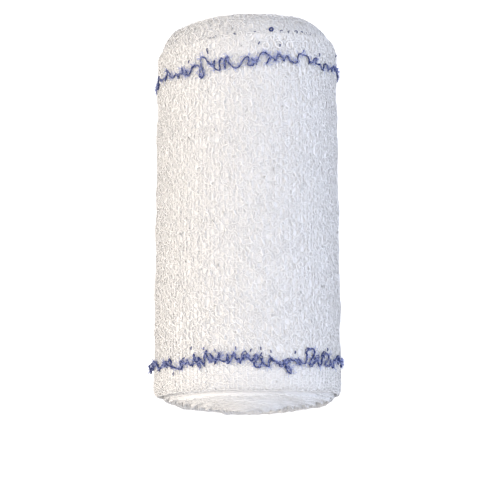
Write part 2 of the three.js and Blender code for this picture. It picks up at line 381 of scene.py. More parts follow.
def find_seat():
    """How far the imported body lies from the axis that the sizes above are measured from."""
    low, high = (np.array(corner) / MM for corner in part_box("bandage_roll"))
    travel = np.linspace(0, TURN, 361)[:, None]
    run = np.linspace(NEAR_BASE, FAR_BASE, 200)[None, :]
    x = barrel_radius(run, travel) * np.cos(CUT_END_ANGLE - travel)
    far_reach = FAR_END - 2 * EDGE_STEP
    near_reach = NEAR_RIM - NEAR_SWELL + EDGE_STEP
    return (
        (low[0] + high[0] - x.min() - x.max()) / 2,
        (low[1] + high[1] - far_reach - near_reach) / 2,
    )


SEAT = find_seat()


# Meshes


def mesh_piece(name, points, blocks, place, finish):
    """A new smooth-shaded object from points in millimetres and blocks of faces, each block with
    its own number of corners. The place of each point on the unrolled cloth becomes its map."""
    mesh = bpy.data.meshes.new(name)
    mesh.vertices.add(len(points))
    mesh.vertices.foreach_set("co", (points * MM).astype(np.float32).ravel())
    corners = np.concatenate([block.ravel() for block in blocks]).astype(np.int32)
    sizes = np.concatenate([np.full(len(block), block.shape[1]) for block in blocks])
    starts = np.concatenate([[0], np.cumsum(sizes)[:-1]]).astype(np.int32)
    mesh.loops.add(len(corners))
    mesh.loops.foreach_set("vertex_index", corners)
    mesh.polygons.add(len(sizes))
    mesh.polygons.foreach_set("loop_start", starts)
    mesh.polygons.foreach_set("use_smooth", np.ones(len(sizes), dtype=bool))
    if place is not None:
        low, high = place.min(axis=0), place.max(axis=0)
        layer = mesh.uv_layers.new(name="OFBake")
        spread = ((place - low) / (high - low))[corners]
        layer.uv.foreach_set("vector", spread.astype(np.float32).ravel())
    mesh.update(calc_edges=True)
    piece = bpy.data.objects.new(name, mesh)
    bpy.context.scene.collection.objects.link(piece)
    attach(piece, "root")
    mesh.materials.append(fibre_finish(finish))
    return piece


def loft_faces(lofts, rings, sides):
    """Faces of closed lofts of equal size: their walls, and one face over each end."""
    side = np.arange(sides)
    after = (side + 1) % sides
    rows = (np.arange(rings - 1) * sides)[:, None]
    wall = np.stack([rows + side, rows + sides + side, rows + sides + after, rows + after], -1)
    first = np.arange(lofts)[:, None] * rings * sides
    walls = (first[:, :, None] + wall.reshape(1, -1, 4)).reshape(-1, 4)
    starts = first + side
    ends = first + (rings - 1) * sides + side[::-1]
    return [walls, np.concatenate([starts, ends])]


def unit(vectors):
    return vectors / np.maximum(np.linalg.norm(vectors, axis=-1, keepdims=True), 1e-9)


def yarn_tubes(run, travel, height, radius, sides=3):
    """Closed tubes on the cloth, from arrays of shape (strands, steps). Gives points, faces and
    each point's place on the unrolled cloth."""
    run, travel, height, radius = np.broadcast_arrays(run, travel, height, radius)
    path = cloth_point(run, travel, height)
    outward = unit(cloth_point(run, travel, height + 0.5) - path)
    along = unit(np.gradient(path, axis=1))
    side = unit(np.cross(along, outward))
    up = np.cross(side, along)
    turn = np.arange(sides) * TURN / sides + math.pi / 2 + math.pi / sides
    ring = side[..., None, :] * np.cos(turn)[:, None] + up[..., None, :] * np.sin(turn)[:, None]
    points = path[..., None, :] + radius[..., None, None] * ring
    points[..., 2] = np.maximum(points[..., 2], 0)
    flat = np.stack([travel * ROLL_RADIUS, run], axis=-1)
    flat_along = unit(np.gradient(flat, axis=1))
    flat_side = np.stack([flat_along[..., 1], -flat_along[..., 0]], axis=-1)
    share = (2 * np.arange(sides) + 1) / sides - 1
    place = flat[..., None, :] + radius[..., None, None] * flat_side[..., None, :] * share[:, None]
    for end in (0, -1):
        place[:, end] += (radius[:, end, None] * np.sin(turn))[..., None] * flat_along[:, end, None]
    return points.reshape(-1, 3), loft_faces(*run.shape, sides), place.reshape(-1, 2)


def joined(parts):
    """Several lots of points, faces and places as one."""
    points, blocks, places = [], [], []
    count = 0
    for part_points, part_blocks, part_places in parts:
        points.append(part_points)
        places.append(part_places)
        blocks.extend(block + count for block in part_blocks)
        count += len(part_points)
    return np.concatenate(points), blocks, np.concatenate(places)


def wander(rng, strands, along, length, strength=1):
    """A smooth random number along each strand, mostly within the strength to both sides."""
    total = 0
    for share in WAVE_SHARES:
        rate = TURN / (length * share * rng.uniform(0.8, 1.25, (strands, 1)))
        total = total + np.sin(rate * along + rng.uniform(0, TURN, (strands, 1)))
    return strength * (total / WAVE_SUM)


def crinkle(rng, strands, along, look):
    """How a crepe yarn strays from its straight line: along it, across it and up."""
    phase = TURN / look.curl_length * along + rng.uniform(0, TURN, (strands, 1))
    curls, drift = CURL_DRIFT
    phase = phase + wander(rng, strands, along, curls * look.curl_length, drift)
    usual, least, most = CURL_SHARES.values()
    share = np.clip(usual + wander(rng, strands, along, *CURL_GROWTH), least, most)
    size = look.curl_height * share
    forward = wander(rng, strands, along, *CURL_LEAN) * size * np.sin(phase)
    across = size * np.cos(phase) + wander(rng, strands, along, *WARP_SWAY)
    up = look.curl_lift * np.sin(phase + wander(rng, strands, along, *CURL_TILT))
    up = up + CURL_RISE * (size - usual * look.curl_height)
    return forward, across, up


# Finishes

FLECK_SHARE = 0.55  # share of the flecks in the colour; the rest is patches
ROUGHNESS = 0.82  # of the smoothest places
# Flecks and patches per metre, sheen, and depth of the bumps in millimetres
FINISHES = {
    "Bleached Cotton Yarn": ("cotton", 6000, 150, 0.1, 0.04),
    # The second turn wears the white cotton set darker and a little cooler, as painted shade for
    # the shaded band where it shows at the far end; its rows at the near end get the same
    "Cotton of the Second Turn": ("inner", 6000, 150, 0.1, 0.04),
    # The sheet between the yarns is the white cotton set darker, as painted shade for the gaps
    # between the yarns; the same colour covers the wound ends and inner turns
    "Cotton Between Yarns": ("ground", 1500, 200, 0.0, 0.08),
    "Blue Dyed Yarn": ("marker", 5000, 700, 0.1, 0.05),
    "Blue Dyed Fibres": ("fluff", 5000, 700, 0.2, 0.02),
}


def add_node(tree, kind, inputs=(), **settings):
    """A new node. Its inputs, by name or number, are plain values or other nodes' outputs."""
    node = tree.nodes.new(kind)
    for key, value in settings.items():
        setattr(node, key, value)
    fill_inputs(tree, node, dict(inputs))
    return node


def fill_inputs(tree, node, inputs):
    for key, value in inputs.items():
        if isinstance(value, bpy.types.NodeSocket):
            tree.links.new(value, node.inputs[key])
        else:
            node.inputs[key].default_value = value


def calculated(tree, operation, *values):
    """The result of a math node."""
    return add_node(tree, "ShaderNodeMath", enumerate(values), operation=operation).outputs[0]


def fibre_group():
    """The look of loosely spun fibre: lighter and darker flecks, patchy on a larger scale."""
    group = bpy.data.node_groups.get("Spun Fibre")
    if group:
        return group
    group = bpy.data.node_groups.new("Spun Fibre", "ShaderNodeTree")
    for name, way, kind in (
        ("Light", "INPUT", "Color"),
        ("Dark", "INPUT", "Color"),
        ("Flecks", "INPUT", "Float"),
        ("Patches", "INPUT", "Float"),
        ("Color", "OUTPUT", "Color"),
        ("Roughness", "OUTPUT", "Float"),
        ("Height", "OUTPUT", "Float"),
    ):
        group.interface.new_socket(name, in_out=way, socket_type="NodeSocket" + kind)
    given = add_node(group, "NodeGroupInput").outputs
    place = add_node(group, "ShaderNodeTexCoord").outputs["Object"]
    flecks, patches = (
        add_node(
            group, "ShaderNodeTexNoise", {"Vector": place, "Scale": given[scale], "Detail": detail}
        ).outputs["Fac"]
        for scale, detail in (("Flecks", 3.0), ("Patches", 2.0))
    )
    patches = calculated(group, "MULTIPLY", patches, 1 - FLECK_SHARE)
    mixed = calculated(group, "MULTIPLY_ADD", flecks, FLECK_SHARE, patches)
    colour = add_node(group, "ShaderNodeMix", data_type="RGBA")
    fill_inputs(group, colour, {"Factor": mixed, "A": given["Dark"], "B": given["Light"]})
    rough = add_node(
        group, "ShaderNodeMapRange", {"Value": mixed, "To Min": ROUGHNESS, "To Max": 1.0}
    )
    results = {"Color": colour.outputs["Result"], "Roughness": rough.outputs[0], "Height": flecks}
    add_node(group, "NodeGroupOutput", results)
    return group


def fibre_finish(name):
    """A dull fibre material, one of the finishes above."""
    finish = bpy.data.materials.get(name)
    if finish:
        return finish
    colours = bpy.context.scene.bandage_colours
    key, flecks, patches, sheen, bump = FINISHES[name]
    finish = bpy.data.materials.new(name)
    finish.use_nodes = True
    tree = finish.node_tree
    fibre = add_node(tree, "ShaderNodeGroup", node_tree=fibre_group())
    looks = {
        "Light": (*getattr(colours, key + "_light"), 1),
        "Dark": (*getattr(colours, key + "_dark"), 1),
        "Flecks": flecks,
        "Patches": patches,
    }
    fill_inputs(tree, fibre, looks)
    raised = {"Distance": bump * MM, "Strength": 0.6, "Height": fibre.outputs["Height"]}
    surface = {
        "Base Color": fibre.outputs["Color"],
        "Roughness": fibre.outputs["Roughness"],
        "Normal": add_node(tree, "ShaderNodeBump", raised).outputs["Normal"],
        "Sheen Weight": sheen,
        "Sheen Roughness": 0.6,
        "Specular IOR Level": 0.2,
    }
    fill_inputs(tree, tree.nodes["Principled BSDF"], surface)
    return finish


# What a user would change


def length(name, description, default):
    """A size given in millimetres and shown as a length."""
    return bpy.props.FloatProperty(
        name=name, description=description, default=default * MM, unit="LENGTH", precision=4
    )


def colour(name, description, default):
    return bpy.props.FloatVectorProperty(
        name=name, description=description, default=default, subtype="COLOR", size=3, min=0, max=1
    )


def amount(name, description, default, **more):
    return bpy.props.FloatProperty(name=name, description=description, default=default, **more)


class BandageYarns(bpy.types.PropertyGroup):
    warp_pitch: length("Warp Pitch", "Distance between two crinkled yarns", 0.88)
    warp_radius: length("Warp Radius", "Half the thickness of a crinkled yarn", 0.14)
    curl_length: length("Curl Length", "Length of cloth that one curl takes up", 1.9)
    curl_height: length("Curl Height", "How far a curl strays to each side", 0.78)
    curl_lift: length("Curl Lift", "How far a curl rises from the cloth", 0.10)
    weft_pitch: length("Weft Pitch", "Distance between two yarns across the strip", 1.3)
    weft_radius: length("Weft Radius", "Half the thickness of a yarn across the strip", 0.14)
    marker_radius: length("Marker Radius", "Half the thickness of a blue thread", 0.27)
    fluff_count: bpy.props.IntProperty(
        name="Fluff Count", description="Number of loose cotton fibres", default=2000, min=0
    )
    seed: bpy.props.IntProperty(
        name="Seed", description="Another number gives other curls", default=7, min=0
    )


class BandageColours(bpy.types.PropertyGroup):
    cotton_light: colour("Cotton, Light", "Lightest fibres of the white yarn", (0.95, 0.945, 0.94))
    cotton_dark: colour("Cotton, Dark", "Darkest fibres of the white yarn", (0.90, 0.895, 0.89))
    # Painted shade: the second turn's colours are the white yarn's, darkened and cooled to stand
    # for the shade on its band at the far end
    inner_light: colour("Inner, Light", "Lightest fibres of the second turn", (0.90, 0.90, 0.90))
    inner_dark: colour("Inner, Dark", "Darkest fibres of the second turn", (0.84, 0.84, 0.845))
    # Painted shade: the places between yarns are the white cotton set darker, to stand for the
    # shade in the gaps
    ground_light: colour("Between, Light", "Lightest places between yarns", (0.87, 0.865, 0.86))
    ground_dark: colour("Between, Dark", "Darkest places between yarns", (0.80, 0.795, 0.79))
    marker_light: colour("Marker, Light", "Lightest fibres of the thread", (0.055, 0.08, 0.25))
    marker_dark: colour("Marker, Dark", "Darkest fibres of the thread", (0.016, 0.026, 0.12))
    fluff_light: colour("Fluff, Light", "Lightest single fibres of the thread", (0.42, 0.48, 0.84))
    fluff_dark: colour("Fluff, Dark", "Darkest single fibres of the thread", (0.294, 0.336, 0.588))
    floor: colour("Floor", "Colour of the floor", (0.5, 0.5, 0.5))


class StudioLights(bpy.types.PropertyGroup):
    sky_left: colour("Sky, Left", "Warm light from the left half of the sky", (0.975, 0.88, 0.765))
    sky_right: colour("Sky, Right", "Cool light from the right half", (0.66, 0.735, 0.90))
    sky_strength: amount("Sky Strength", "Strength of the light all around", 1.60, min=0)
    far_fall: amount("Far Fall", "How much darker the far side of the sky is", 0.2)
    end_fall: amount("End Fall", "How much darker the sky is past both ends", 1.0)
    side_rise: amount("Side Rise", "How much brighter the sky is to both sides", 1.6)
    lamp: amount("Soft Lamp", "Power of the lamp at the left", 0.6, subtype="POWER")
    glow: amount("Floor Glow", "How white the floor looks by itself", 1.0, min=0)


def yarn_sizes():
    """The yarns' sizes in millimetres, as plain numbers by name."""
    yarns = bpy.context.scene.bandage_yarns
    names = [key for key in BandageYarns.__annotations__ if key not in ("seed", "fluff_count")]
    sizes = {key: getattr(yarns, key) / MM for key in names}
    return type("Sizes", (), dict(sizes, fluff_count=yarns.fluff_count))


def random_draws(number):
    return np.random.default_rng([bpy.context.scene.bandage_yarns.seed, number])


# Pieces


def cotton_piece(name, made, finish="Bleached Cotton Yarn"):
    piece = mesh_piece(name, *made, finish)
    return piece


def thread_piece(name, made, finish="Blue Dyed Yarn"):
    piece = mesh_piece(name, *made, finish)
    return piece


def strip_stations():
    """Travels at which the strip's section is set."""
    lots = [np.linspace(first * TURN, last * TURN, count)[:-1] for first, last, count in STATIONS]
    return np.append(np.concatenate(lots), TURNS * TURN)


def strip_ring(travel):
    """Runs and heights around the strip's section at each travel, from the near edge over the
    outer face to the far edge, and back along the inner face."""
    near, far = near_edge(travel)[:, None], far_edge(travel)[:, None]
    from_near, from_far = np.array(NEAR_RING), np.array(FAR_RING[::-1])
    first, last = near + from_near, far - from_far
    share = np.arange(1, MIDDLE_RING + 1) / (MIDDLE_RING + 1)
    between = first[:, -1:] + share * (last[:, :1] - first[:, -1:])
    outer_run = np.concatenate([first, between, last], axis=1)
    to_edge = np.minimum(outer_run - near, far - outer_run)
    rounding = 1 - np.clip(to_edge / SELVEDGE_ROUNDING, 0, 1)
    fullness = np.sqrt(1 - rounding**2)
    top = (GROUND * (1 - smooth(travel / TURN, *GROUND_FILLS)))[:, None]
    middle = (top + INNER_FACE) / 2
    outer_height = middle + fullness * (top - middle)
    inner_height = middle + fullness * (INNER_FACE - middle)
    back = slice(-2, 0, -3)
    run = np.concatenate([outer_run, outer_run[:, back]], axis=1)
    height = np.concatenate([outer_height, inner_height[:, back]], axis=1)
    return run, height


class BANDAGE_OT_wind_cloth(bpy.types.Operator):
    """Wind the strip of cloth from its cut end inwards"""

    bl_idname = "bandage.wind_cloth"
    bl_label = "Wind Cloth"

    def execute(self, context):
        travel = strip_stations()
        run, height = strip_ring(travel)
        points = cloth_point(run, travel[:, None], height)
        blocks = loft_faces(1, *run.shape)
        made = (points.reshape(-1, 3), blocks, None)
        # The sheet wears the darker cotton, painted shade for the gaps between the yarns
        piece = cotton_piece("wound_cloth", made, "Cotton Between Yarns")
        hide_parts("bandage_roll")
        return {"FINISHED"}


def row_along(first, last, step):
    """Places along a warp, farther apart where the roll hides them underneath."""
    fine = np.arange(first, last, step)
    below = np.sin(CUT_END_ANGLE - fine / ROLL_RADIUS) < HIDDEN_BELOW
    return fine[~below | (np.arange(len(fine)) % round(HIDDEN_STEP / step) == 0)]


def crinkled_rows(rng, shares, first, last, yarns, step=WARP_STEP, calmness=NEAR_BAND_CALM):
    """Crinkled warps at shares of the way from the near edge to the far edge."""
    along = row_along(first, last, step)
    place = np.broadcast_to(along, (len(shares), len(along)))
    shares = shares[:, None]
    calm = 1 - calmness * (1 - smooth(shares, *NEAR_BAND))
    forward, across, up = (calm * part for part in crinkle(rng, len(shares), place, yarns))
    travel = (place + forward) / ROLL_RADIUS
    near, far = near_edge(travel), far_edge(travel)
    run = np.clip(near + shares * (far - near) + across, near + ROW_MARGIN, far - ROW_MARGIN)
    hanging = CUT_END_DROP["height"] * smooth(-place, 0, CUT_END_DROP["reach"])
    return run, travel, up - WARP_SINK - hanging


class BANDAGE_OT_weave_warps(bpy.types.Operator):
    """Lay the crinkled yarns that run around the roll, on its outer turn"""

    bl_idname = "bandage.weave_warps"
    bl_label = "Weave Warps"

    def execute(self, context):
        yarns = yarn_sizes()
        count = round(WARPED_WIDTH / yarns.warp_pitch)
        shares = (np.arange(count) + 0.5) / count
        for number, name in enumerate(("near", "middle", "far")):
            rng = random_draws(number)
            rows = np.array_split(shares, 3)[number]
            rows = rows + rng.normal(0, WARP_SPREAD, len(rows))
            start, over = WARP_ENDS
            run, travel, height = crinkled_rows(rng, rows, start, UNROLLED + over, yarns)
            swell = wander(rng, len(rows), travel * MEAN_RADIUS, *WARP_SWELL)
            radius = yarns.warp_radius * (1 + swell)
            cotton_piece(f"crepe_warps_{name}", yarn_tubes(run, travel, height, radius))
        curls = standing_curls(random_draws(5), STANDING_COUNT, yarns)
        cotton_piece("crepe_curls", yarn_tubes(*curls, sides=4))
        return {"FINISHED"}


def weft_lines(rng, travels, first, last, yarns, step=0.8):
    """Yarns across the strip at the given travels, from first to last, which are functions of
    travel."""
    count = len(travels)
    start, end = first(travels)[:, None], last(travels)[:, None]
    steps = int(np.ceil((end - start).max() / step))
    run = start + (end - start) * np.linspace(0, 1, steps)
    aside = wander(rng, count, run, *WEFT_SWAY) + wander(rng, count, run, *WEFT_SHAKE)
    travel = travels[:, None] + aside / ROLL_RADIUS
    parity = np.arange(count)[:, None] % 2
    up = WEFT_WAVE * np.sin(math.pi * (run / yarns.warp_pitch + parity))
    return run, travel, up - WEFT_DEPTH


def selvedge_arcs(rng, travels, yarns):
    """Small loops in which the wefts turn back at the far edge, one for each pair of wefts."""
    travels = travels[:, None]
    turn = np.linspace(-ARC["past"], math.pi + ARC["past"], 9)
    around = ROLL_RADIUS - CLOTH_THICKNESS * travels / TURN
    half = ARC["half_width"] * yarns.weft_pitch / around
    half = half * rng.uniform(*ARC["widths"], travels.shape)
    bulge = rng.uniform(*ARC["bulges"], travels.shape)
    run = far_edge(travels) + bulge * np.sin(turn) - ARC["inset"]
    depth = rng.normal(ARC_DEPTH["mean"], ARC_DEPTH["spread"], travels.shape)
    return run, travels + half * np.cos(turn), depth + ARC_DEPTH["wave"] * np.sin(turn * 2)


def standing_curls(rng, count, yarns):
    """Curls that stand off the cloth, and the big ones: runs, travels, heights and thicknesses."""
    big_across, big_run, big_radius = np.array(BIG_CURLS).T
    big = np.ones(len(big_run))
    middle = CUT_END_ANGLE - np.radians(rng.uniform(*STANDING["angles"], count))
    near, far = near_edge(middle), far_edge(middle)
    run = near + rng.uniform(*STANDING["shares"], count) * (far - near)
    middle = np.append(middle, CUT_END_ANGLE - np.arccos(big_across / ROLL_RADIUS))[:, None]
    run = np.append(run, big_run)[:, None]
    radius = np.append(rng.uniform(*STANDING["sizes"], count), big_radius)[:, None]
    arc = np.append(rng.uniform(*STANDING["arcs"], count), BIG_CURL["arc"] * big)[:, None]
    turn = rng.uniform(0, TURN, middle.shape) + TURN * arc * np.linspace(0, 1, 16)
    travel = middle + radius * np.cos(turn) / ROLL_RADIUS
    height = STANDING_HEIGHT["mean"] + STANDING_HEIGHT["wave"] * np.cos(turn)
    thickness = np.append(np.ones(count), BIG_CURL["thickness"] * big)[:, None]
    return run + radius * np.sin(turn), travel, height, yarns.warp_radius * thickness


def edge_yarns(rng, first_turn, edge, outward):
    """Two yarns along a selvedge, from a turn inwards, so that the wound end looks woven."""
    along = np.arange(first_turn * UNROLLED, CLOTH_LENGTH - EDGE_YARN["left"], EDGE_YARN["step"])
    radius = np.sqrt(np.maximum(ROLL_RADIUS**2 - CLOTH_THICKNESS * along / math.pi, 1.0))
    travel = TURN * (ROLL_RADIUS - radius) / CLOTH_THICKNESS + EDGE_YARN["start"]
    place = np.broadcast_to(along, (2, len(along)))
    aside = wander(rng, 2, place, *EDGE_SWAY) + wander(rng, 2, place, *EDGE_DRIFT)
    height = np.array(EDGE_YARN["heights"])[:, None] + wander(rng, 2, place, *EDGE_SHAKE)
    return edge(travel) + outward * (aside - EDGE_YARN["inset"]), travel, height


class BANDAGE_OT_weave_wefts(bpy.types.Operator):
    """Lay the yarns that run across the strip, from selvedge to selvedge"""

    bl_idname = "bandage.weave_wefts"
    bl_label = "Weave Wefts"

    def execute(self, context):
        yarns = yarn_sizes()
        rng = random_draws(10)
        travels = np.arange(FIRST_WEFT, UNROLLED, yarns.weft_pitch) / ROLL_RADIUS
        travels = travels + rng.normal(0, WEFT_SPREAD, len(travels)) / ROLL_RADIUS
        wefts = weft_lines(rng, travels, lambda t: near_edge(t) + WEFT_INSET, far_edge, yarns)
        cotton_piece("crepe_wefts", yarn_tubes(*wefts, yarns.weft_radius))
        return {"FINISHED"}


class BANDAGE_OT_dress_second_turn(bpy.types.Operator):
    """Lay the yarns of the second turn, where it comes out from under the outer turn"""

    bl_idname = "bandage.dress_second_turn"
    bl_label = "Dress Second Turn"

    def execute(self, context):
        yarns = yarn_sizes()
        rng = random_draws(20)
        first, last = UNROLLED + SECOND_START, 2 * UNROLLED
        pitch = yarns.warp_pitch / FULL_WIDTH
        shares = 1 - (np.arange(SECOND_ROWS) + 0.5) * pitch
        warps = crinkled_rows(rng, shares, first, last, yarns)
        parts = [yarn_tubes(*warps, yarns.warp_radius)]
        travels = np.arange(first, last, yarns.weft_pitch) / ROLL_RADIUS
        wefts = weft_lines(rng, travels, lambda t: outer_far_edge(t) - TUCK, far_edge, yarns)
        parts.append(yarn_tubes(*wefts, yarns.weft_radius))
        for turn, rows in NEAR_ROWS.items():
            first, last = turn * UNROLLED, (turn + 1) * UNROLLED
            shares = (np.arange(rows) + NEAR_ROW_START) * pitch
            run, travel, height = crinkled_rows(
                rng, shares, first, last, yarns, NEAR_ROW_STEP, NEAR_ROW_CALM
            )
            height = height + NEAR_ROW_RISE * (turn > 1)
            parts.append(yarn_tubes(run, travel, height, yarns.warp_radius))
        # Its darker finish is painted shade, not a different cotton
        cotton_piece("second_turn_yarns", joined(parts), "Cotton of the Second Turn")
        return {"FINISHED"}


class BANDAGE_OT_loop_selvedges(bpy.types.Operator):
    """Turn the wefts back in small loops at the far selvedge, and edge both wound ends"""

    bl_idname = "bandage.loop_selvedges"
    bl_label = "Loop Selvedges"

    def execute(self, context):
        yarns = yarn_sizes()
        rng = random_draws(30)
        outer = np.arange(FIRST_ARC, UNROLLED, 2 * yarns.weft_pitch) / ROLL_RADIUS
        parts = [
            yarn_tubes(*selvedge_arcs(rng, travels, yarns), yarns.weft_radius, 4)
            for travels in (outer, outer + TURN)
        ]
        cotton_piece("selvedge_loops", joined(parts))
        for name, edge, outward, first in (("near", near_edge, -1, 0), ("far", far_edge, 1, 2)):
            made = yarn_tubes(*edge_yarns(rng, first, edge, outward), EDGE_YARN["radius"])
            cotton_piece(f"end_yarns_{name}", made)
        return {"FINISHED"}


def smooth_route(points, steps):
    """A Catmull-Rom curve through points, with a number of steps between each two."""
    padded = np.concatenate([points[:1], points, points[-1:]])
    before, start, end, after = padded[:-3], padded[1:-2], padded[2:-1], padded[3:]
    t = (np.arange(steps) / steps)[None, :, None]
    before, start, end, after = (part[:, None, :] for part in (before, start, end, after))
    curve = 0.5 * (
        2 * start
        + (end - before) * t
        + (2 * before - 5 * start + 4 * end - after) * t**2
        + (3 * start - before - 3 * end + after) * t**3
    )
    return np.concatenate([curve.reshape(-1, points.shape[1]), points[-1:]])


def hidden_curls(rng, first, last, yarns):
    """Curls like the others for the stretch of a blue thread between two places along it."""
    along = np.arange(first, last, MARKER_STEP)[None, :]
    forward, across, _ = crinkle(rng, 1, along, yarns)
    aside = HIDDEN_CURLS["height"] * across[0] + HIDDEN_CURLS["aside"]
    return np.stack([(along + forward)[0], aside], axis=1)


def marker_route(rng, curls, yarns):
    """A blue thread's whole way round: along the cloth, aside from its line, and its height."""
    across, aside = np.array(curls).T / 10
    beyond = np.maximum(np.abs(across) - MARKER_REACH + MARKER_PROUD, 0)
    angle = np.arccos(np.clip(across / MARKER_REACH, -0.999, 0.999))
    along = (CUT_END_ANGLE - angle) * ROLL_RADIUS
    before = hidden_curls(rng, -MARKER_ENDS, along[0] - MARKER_GAP, yarns)
    after = hidden_curls(rng, along[-1] + MARKER_GAP, UNROLLED + MARKER_ENDS, yarns)
    shown = smooth_route(np.stack([along, aside, beyond], axis=1), steps=6)
    flat = np.concatenate([before, shown[:, :2], after])
    proud = np.concatenate([np.zeros(len(before)), shown[:, 2], np.zeros(len(after))])
    rise = wander(rng, 1, np.arange(len(proud))[None, :] * MARKER_STEP, *MARKER_RISE)[0]
    return flat[:, 0], flat[:, 1], MARKER_HEIGHT + rise + proud


def loose_ply(rng, along, aside, height, look):
    """The thread's second, looser ply, which strays from the first in small tight curls."""
    length = np.concatenate([[0], np.cumsum(np.hypot(np.diff(along), np.diff(aside)))])[None, :]
    phase = TURN * length / look["length"] + wander(rng, 1, length, *PLY_DRIFT)
    share = np.clip(PLY["usual"] + wander(rng, 1, length, *PLY_GROWTH), 0, PLY["most"])
    size = look["stray"] * share
    along = along + (PLY["lean"] * size * np.sin(PLY["quicker"] * phase))[0]
    aside = aside + (size * np.cos(phase))[0]
    return along, aside, height - PLY["sink"] + (PLY["wave"] * np.sin(phase))[0]


def peeping_loops(yarns):
    """Loops of the second turn's thread that come out from under the outer turn's edge."""
    angle, beyond, radius, thickness = np.array(PEEPING_LOOPS).T[..., None]
    turn = np.linspace(-PEEP["span"] * math.pi, (1 + PEEP["span"]) * math.pi, 22)
    middle = np.mod(CUT_END_ANGLE - np.radians(angle), TURN) + TURN
    travel = middle + radius * np.cos(turn) / ROLL_RADIUS
    run = outer_far_edge(travel) + beyond + radius * np.sin(turn)
    height = PEEP["height"] + PEEP["wave"] * np.cos(turn)
    return yarn_tubes(run, travel, height, thickness * yarns.marker_radius, SIDES_OF_ROUND_YARN)


def marker_tips(rng, thread, tips, yarns):
    """Short arcs of a blue thread that come up through the cloth beside it."""
    across, aside = np.array(tips).T / 10
    middle = CUT_END_ANGLE - np.arccos(across / MARKER_REACH)[:, None]
    turn = np.linspace(0.1, math.pi - 0.1, 7)
    slant = rng.uniform(-0.5, 0.5, middle.shape)
    travel = middle + TIP["slant"] * slant * np.cos(turn) / ROLL_RADIUS
    run = thread_run(thread, middle) + aside[:, None] + TIP["length"] * np.cos(turn)
    height = TIP["height"] * np.sin(turn) - TIP["sink"]
    return yarn_tubes(run, travel, height, TIP["thickness"] * yarns.marker_radius, 5)


# Name, line, curls, look and number of random draws
THREADS = (
    ("near", NEAR_THREAD, NEAR_CURLS, NEAR_LOOK, 40),
    ("far", FAR_THREAD, FAR_CURLS, FAR_LOOK, 50),
)


class BANDAGE_OT_run_marker_threads(bpy.types.Operator):
    """Run a curly blue thread around the roll by each selvedge"""

    bl_idname = "bandage.run_marker_threads"
    bl_label = "Run Marker Threads"

    def execute(self, context):
        yarns = yarn_sizes()
        for name, thread, curls, look, number in THREADS:
            rng = random_draws(number)
            main = marker_route(rng, curls, yarns)
            plies = []
            for along, aside, height in (main, loose_ply(rng, *main, look)):
                travel = along[None] / ROLL_RADIUS
                run = thread_run(thread, travel) + aside
                uneven = 1 + wander(rng, 1, along[None], *MARKER_SWELL)
                thickness = look["thickness"] - PLY["thinner"] * len(plies)
                radius = thickness * yarns.marker_radius * uneven
                plies.append(yarn_tubes(run, travel, height[None], radius, SIDES_OF_ROUND_YARN))
            plies.append(marker_tips(rng, thread, look["tips"], yarns))
            piece = thread_piece(f"marker_thread_{name}_yarn", joined(plies))
            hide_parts(f"marker_thread_{name}")
        thread_piece("marker_thread_inner_loops", peeping_loops(yarns))
        return {"FINISHED"}


def stray_fibres(rng, run, travel, height, reach, radius):
    """Short bent fibres that stand off the cloth, one from each place."""
    count = len(run)
    bend, share = FIBRE["bend"], np.linspace(0, 1, 4)
    way = rng.uniform(0, TURN, (count, 1)) + rng.uniform(-bend, bend, (count, 1)) * share
    size = reach * rng.uniform(*FIBRE["lengths"], (count, 1)) * share
    rise = rng.uniform(*FIBRE["rises"], (count, 1)) * reach * share
    travel = travel[:, None] + size * np.cos(way) / ROLL_RADIUS
    return yarn_tubes(run[:, None] + size * np.sin(way), travel, height[:, None] + rise, radius)


class BANDAGE_OT_fluff_fibres(bpy.types.Operator):
    """Let loose fibres stand off the cotton and off the blue threads"""

    bl_idname = "bandage.fluff_fibres"
    bl_label = "Fluff Fibres"

    def execute(self, context):
        yarns = yarn_sizes()
        rng = random_draws(60)
        travel = rng.uniform(*FLUFF_SHARES, yarns.fluff_count) * TURN
        share = rng.uniform(*FLUFF_SHARES, yarns.fluff_count)
        run = near_edge(travel) + share * (far_edge(travel) - near_edge(travel))
        height = np.full(len(run), FLUFF_HEIGHT)
        fluff = stray_fibres(rng, run, travel, height, **COTTON_FLUFF)
        cotton_piece("cotton_fluff", fluff)
        parts = []
        for _, thread, curls, _, number in THREADS:
            along, aside, height = marker_route(random_draws(number), curls, yarns)
            root = rng.integers(0, len(along), BLUE_FLUFF_COUNT)
            travel = along[root] / ROLL_RADIUS
            run = thread_run(thread, travel) + aside[root]
            parts.append(stray_fibres(rng, run, travel, height[root], **BLUE_FLUFF))
        thread_piece("marker_thread_fluff", joined(parts), "Blue Dyed Fibres")
        return {"FINISHED"}


class BANDAGE_OT_declare_cloth(bpy.types.Operator):
    """Do nothing; this step returns at once"""

    bl_idname = "bandage.declare_cloth"
    bl_label = "Declare Cloth"

    def execute(self, context):
        return {"FINISHED"}


# Stage

CAMERA_ELEVATION = math.radians(79)
CAMERA_DISTANCE = 600.0
CAMERA_ROLL = math.radians(0.2)
AIM = (0.5, -10.45, 25.6)
LENS = 152.9
LAMP_PLACE = (-440, -160, 440)
LAMP_SIZE = 500


def left_lamp(power):
    """A large soft lamp, aimed at the middle of the roll."""
    lamp = bpy.data.lights.new("Left Lamp", "AREA")
    lamp.energy = power
    lamp.size = LAMP_SIZE * MM
    lamp.color = (1.0, 0.96, 0.92)
    holder = bpy.data.objects.new("Left Lamp", lamp)
    bpy.context.scene.collection.objects.link(holder)
    place, middle = Vector(LAMP_PLACE) * MM, Vector((0, 0, 25)) * MM
    holder.location = place
    holder.rotation_euler = (middle - place).to_track_quat("-Z", "Y").to_euler()


